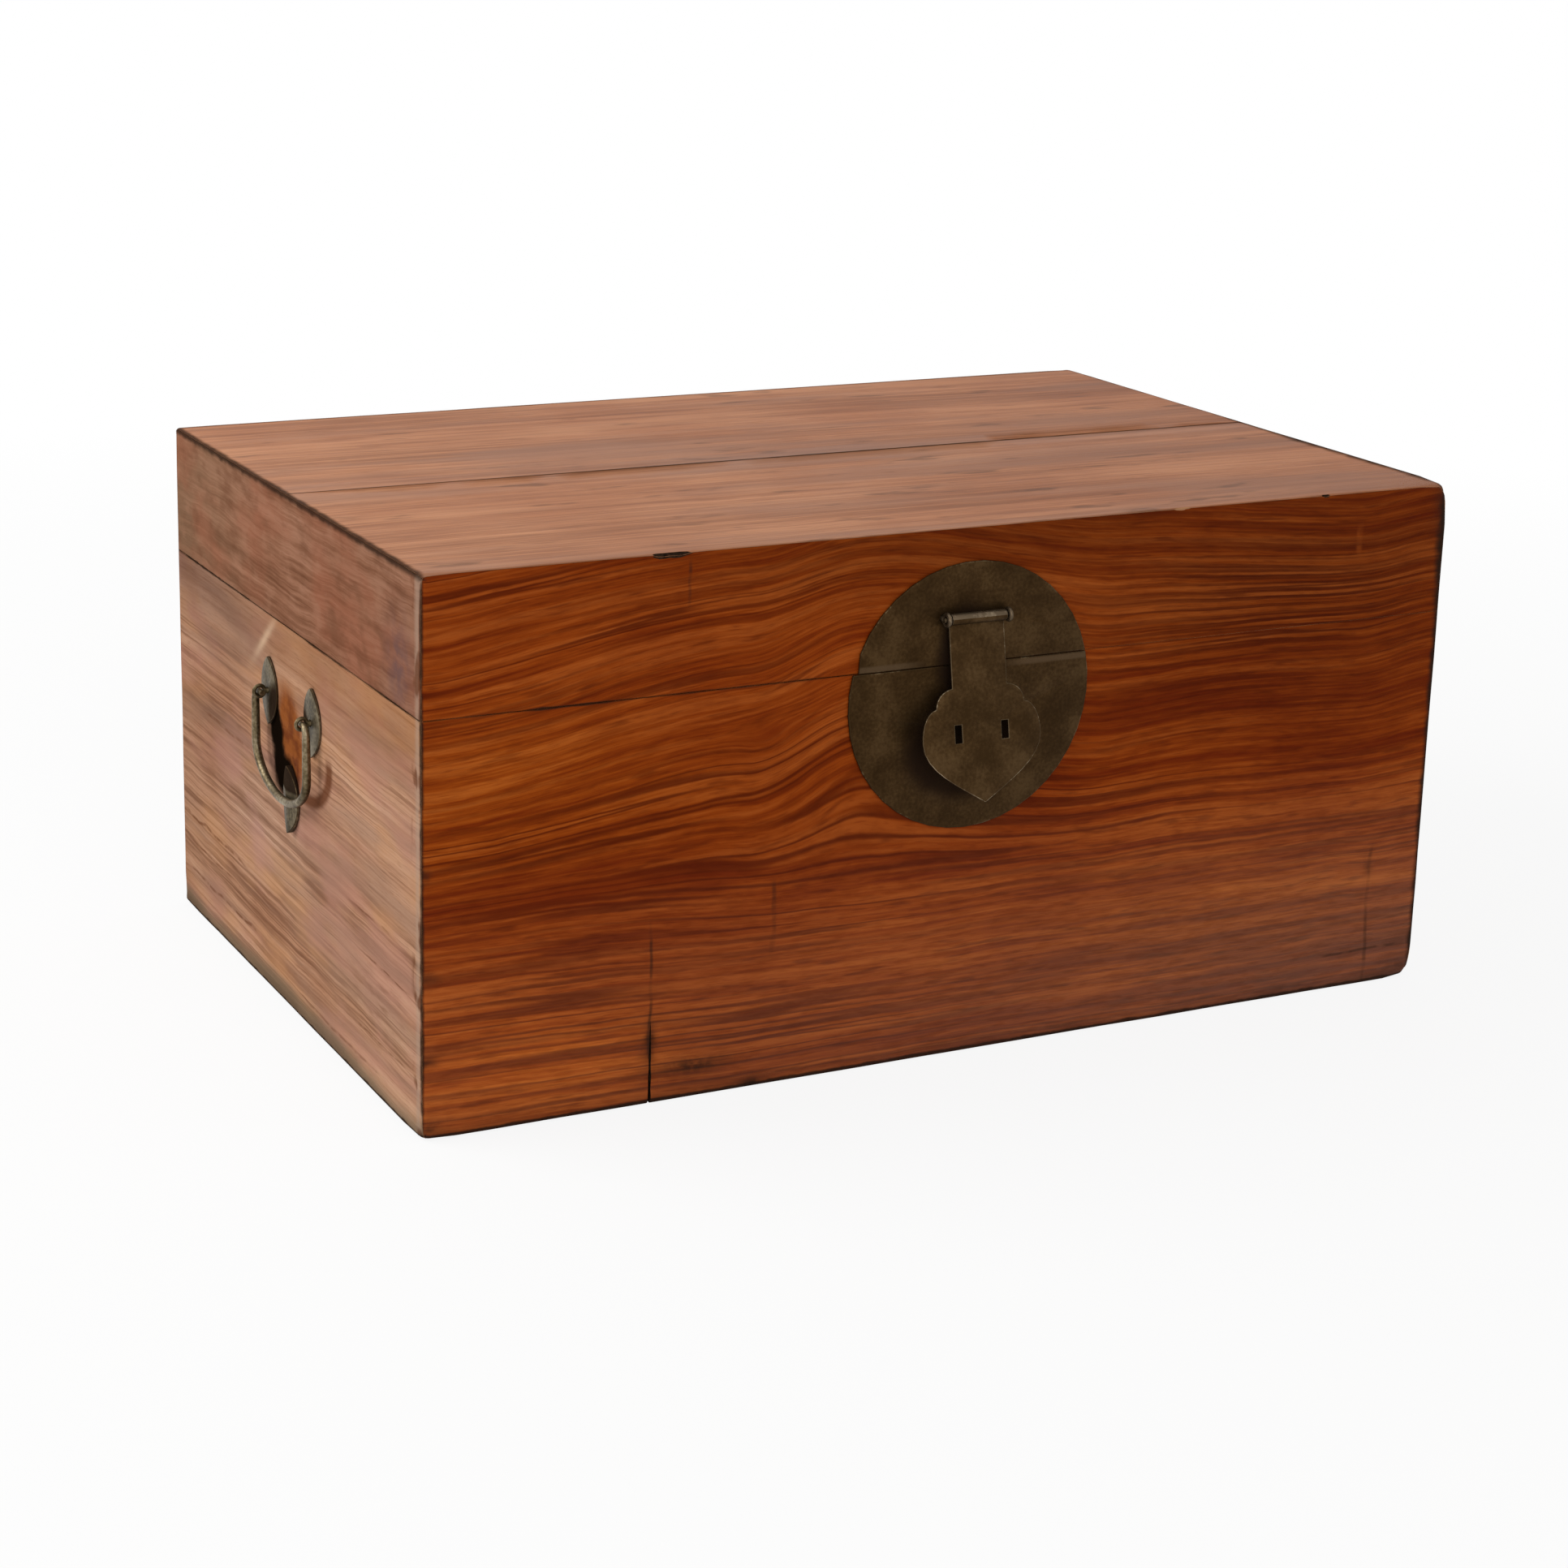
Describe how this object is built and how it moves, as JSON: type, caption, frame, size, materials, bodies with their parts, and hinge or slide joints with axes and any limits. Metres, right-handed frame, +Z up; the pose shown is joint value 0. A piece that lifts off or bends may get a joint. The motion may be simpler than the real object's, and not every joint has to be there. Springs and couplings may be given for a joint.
{
  "type": "camphor chest",
  "caption": "Mitred camphor-wood blanket chest with a deep hinged lid, a round lock plate with a hanging hasp, and a bail handle at each end.",
  "frame": {"origin": "middle of the underside, on the floor", "axes": "+X to the right along the front, +Y to the back, +Z up; the front with the lock faces -Y"},
  "size_m": [0.828, 0.5579, 0.38],
  "materials": {
    "lacquered_camphor": "old lacquer, satin",
    "worn_camphor": "worn lacquer, satin",
    "bare_camphor": "bare, planed",
    "dark_bronze": "dark patina",
    "bright_bronze": "rubbed",
    "green_bronze": "greenish patina"
  },
  "bodies": {
    "case": {"case_front_board": "lacquered_camphor", "case_back_board": "lacquered_camphor", "case_left_end": "worn_camphor", "case_right_end": "worn_camphor", "bottom_board_1": "bare_camphor", "bottom_board_2": "bare_camphor", "bottom_board_3": "bare_camphor", "lip_front": "bare_camphor", "lip_back": "bare_camphor", "lip_left": "bare_camphor", "lip_right": "bare_camphor", "lock_plate_lower": "dark_bronze", "lock_eye_left": "dark_bronze", "lock_eye_right": "dark_bronze", "left_handle_front_leaf": "green_bronze", "left_handle_rear_leaf": "green_bronze", "left_handle_front_eye": "green_bronze", "left_handle_rear_eye": "green_bronze", "left_handle_striker": "green_bronze", "left_hinge_case_leaf": "dark_bronze", "left_hinge_pin": "bright_bronze", "right_handle_front_leaf": "green_bronze", "right_handle_rear_leaf": "green_bronze", "right_handle_front_eye": "green_bronze", "right_handle_rear_eye": "green_bronze", "right_handle_striker": "green_bronze", "right_hinge_case_leaf": "dark_bronze", "right_hinge_pin": "bright_bronze"},
    "lid": {"lid_front_wall": "lacquered_camphor", "lid_back_wall": "lacquered_camphor", "lid_left_wall": "worn_camphor", "lid_right_wall": "worn_camphor", "lid_top_front_board": "worn_camphor", "lid_top_back_board": "worn_camphor", "lock_plate_upper": "dark_bronze", "hasp_eye_left": "bright_bronze", "hasp_eye_right": "bright_bronze", "hasp_pin": "bright_bronze", "left_hinge_lid_leaf": "dark_bronze", "right_hinge_lid_leaf": "dark_bronze"},
    "hasp": {"hasp": "dark_bronze"},
    "left_bail": {"left_bail": "green_bronze"},
    "right_bail": {"right_bail": "green_bronze"}
  },
  "joints": [
    {"name": "lid_hinge", "type": "hinge", "parent": "case", "child": "lid", "pos_m": [0, 0.2648, 0.28515], "axis": [-1, 0, 0], "range_deg": [0, 110]},
    {"name": "hasp_swing", "type": "hinge", "parent": "lid", "child": "hasp", "pos_m": [0, -0.2676, 0.3185], "axis": [-1, 0, 0], "range_deg": [-10, 150]},
    {"name": "left_bail_swing", "type": "hinge", "parent": "case", "child": "left_bail", "pos_m": [-0.4085, -0.009, 0.23], "axis": [0, 1, 0], "range_deg": [0, 160]},
    {"name": "right_bail_swing", "type": "hinge", "parent": "case", "child": "right_bail", "pos_m": [0.4085, -0.009, 0.23], "axis": [0, -1, 0], "range_deg": [0, 160]}
  ]
}
